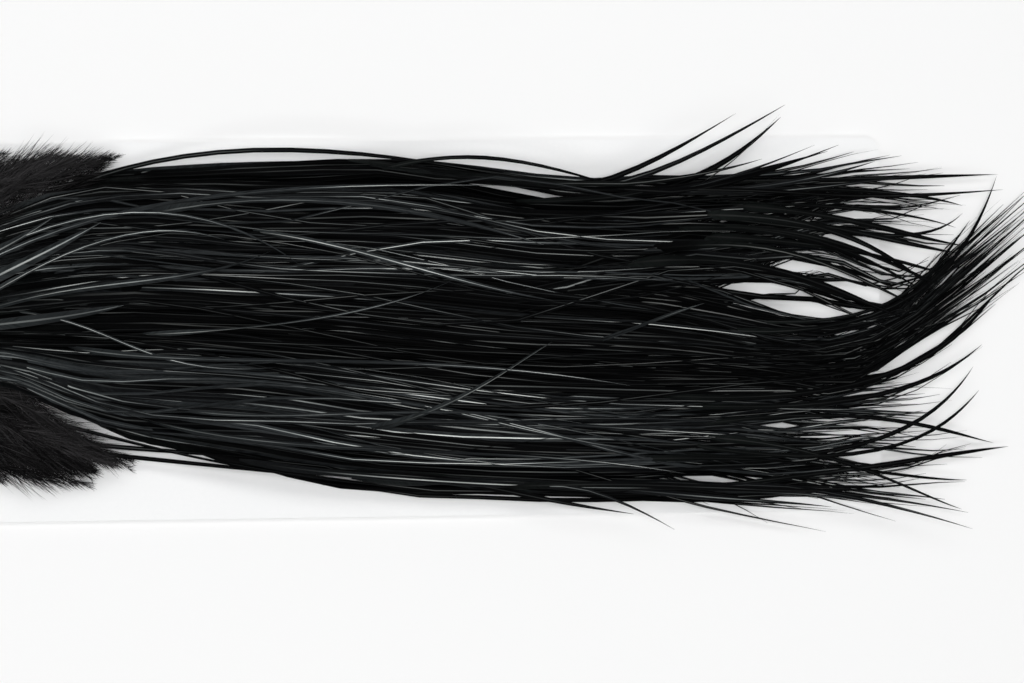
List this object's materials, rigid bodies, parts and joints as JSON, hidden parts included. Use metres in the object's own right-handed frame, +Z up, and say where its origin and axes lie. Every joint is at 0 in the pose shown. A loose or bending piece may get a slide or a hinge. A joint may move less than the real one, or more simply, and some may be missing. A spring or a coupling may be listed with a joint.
{
  "type": "feather saddle patch",
  "caption": "Dyed black saddle patch of long narrow hackle feathers, laid straight along a thin white backing card.",
  "frame": {"origin": "centre of the backing card's underside", "axes": "+X along the feathers from root to tip, +Y across the card, +Z up off the card"},
  "size_m": [0.38, 0.1147, 0.0117],
  "materials": {
    "card": "satin",
    "hide": "matte",
    "staple_wire": "satin",
    "hackle_feather": "satin",
    "webby_feather": "matte"
  },
  "bodies": {
    "carded_skin": {"backing_card": "card", "skin_patch": "hide", "staple_1": "staple_wire", "staple_2": "staple_wire", "low_hackle_lock_1": "hackle_feather", "low_hackle_lock_2": "hackle_feather", "low_hackle_lock_3": "hackle_feather", "low_hackle_lock_4": "hackle_feather", "low_hackle_lock_5": "hackle_feather", "low_hackle_lock_6": "hackle_feather", "low_hackle_lock_7": "hackle_feather", "mid_hackle_lock_1": "hackle_feather", "mid_hackle_lock_2": "hackle_feather", "mid_hackle_lock_3": "hackle_feather", "mid_hackle_lock_4": "hackle_feather", "mid_hackle_lock_5": "hackle_feather", "mid_hackle_lock_6": "hackle_feather", "rear_covert_tuft_1": "webby_feather", "rear_covert_tuft_2": "webby_feather", "rear_covert_tuft_3": "webby_feather", "middle_covert_tuft_1": "webby_feather", "middle_covert_tuft_2": "webby_feather", "middle_covert_tuft_3": "webby_feather", "front_covert_tuft_1": "webby_feather", "front_covert_tuft_2": "webby_feather", "front_covert_tuft_3": "webby_feather"},
    "top_lock_1": {"top_hackle_lock_1": "hackle_feather"},
    "top_lock_2": {"top_hackle_lock_2": "hackle_feather"},
    "curved_lock_1": {"curved_hackle_lock_1": "hackle_feather"},
    "curved_lock_2": {"curved_hackle_lock_2": "hackle_feather"},
    "curved_lock_3": {"curved_hackle_lock_3": "hackle_feather"},
    "top_lock_6": {"top_hackle_lock_6": "hackle_feather"},
    "top_lock_7": {"top_hackle_lock_7": "hackle_feather"},
    "upper_edge": {"upper_edge_lock": "hackle_feather", "upper_stray_lock_1": "hackle_feather", "upper_stray_lock_2": "hackle_feather"},
    "lower_edge": {"lower_edge_lock": "hackle_feather", "lower_stray_lock": "hackle_feather"},
    "upper_plumes": {"upper_side_plume_1": "webby_feather", "upper_side_plume_2": "webby_feather", "upper_side_plume_3": "webby_feather"},
    "lower_plumes": {"lower_side_plume_1": "webby_feather", "lower_side_plume_2": "webby_feather", "lower_side_plume_3": "webby_feather", "lower_side_plume_4": "webby_feather"}
  },
  "joints": [
    {"name": "top_lock_1_lift", "type": "hinge", "parent": "carded_skin", "child": "top_lock_1", "pos_m": [-0.078, 0, 0.00475], "axis": [0, -1, 0], "range_deg": [0, 60]},
    {"name": "top_lock_2_lift", "type": "hinge", "parent": "carded_skin", "child": "top_lock_2", "pos_m": [-0.078, 0, 0.00475], "axis": [0, -1, 0], "range_deg": [0, 60]},
    {"name": "curved_lock_1_lift", "type": "hinge", "parent": "carded_skin", "child": "curved_lock_1", "pos_m": [-0.078, 0, 0.00475], "axis": [0, -1, 0], "range_deg": [0, 60]},
    {"name": "curved_lock_2_lift", "type": "hinge", "parent": "carded_skin", "child": "curved_lock_2", "pos_m": [-0.078, 0, 0.00475], "axis": [0, -1, 0], "range_deg": [0, 60]},
    {"name": "curved_lock_3_lift", "type": "hinge", "parent": "carded_skin", "child": "curved_lock_3", "pos_m": [-0.078, 0, 0.00475], "axis": [0, -1, 0], "range_deg": [0, 60]},
    {"name": "top_lock_6_lift", "type": "hinge", "parent": "carded_skin", "child": "top_lock_6", "pos_m": [-0.078, 0, 0.00475], "axis": [0, -1, 0], "range_deg": [0, 60]},
    {"name": "top_lock_7_lift", "type": "hinge", "parent": "carded_skin", "child": "top_lock_7", "pos_m": [-0.078, 0, 0.00475], "axis": [0, -1, 0], "range_deg": [0, 60]},
    {"name": "upper_edge_splay", "type": "hinge", "parent": "carded_skin", "child": "upper_edge", "pos_m": [-0.036, 0.0429, 0.004], "axis": [0, 0, 1], "range_deg": [0, 15]},
    {"name": "lower_edge_splay", "type": "hinge", "parent": "carded_skin", "child": "lower_edge", "pos_m": [-0.036, -0.0278, 0.004], "axis": [0, 0, -1], "range_deg": [0, 15]},
    {"name": "upper_plumes_fold", "type": "hinge", "parent": "carded_skin", "child": "upper_plumes", "pos_m": [-0.1, 0.0307, 0.00835], "axis": [0.9706, 0.2406, 0], "range_deg": [0, 65]},
    {"name": "lower_plumes_fold", "type": "hinge", "parent": "carded_skin", "child": "lower_plumes", "pos_m": [-0.1, -0.02275, 0.00835], "axis": [-0.9924, 0.123, 0], "range_deg": [0, 65]}
  ]
}
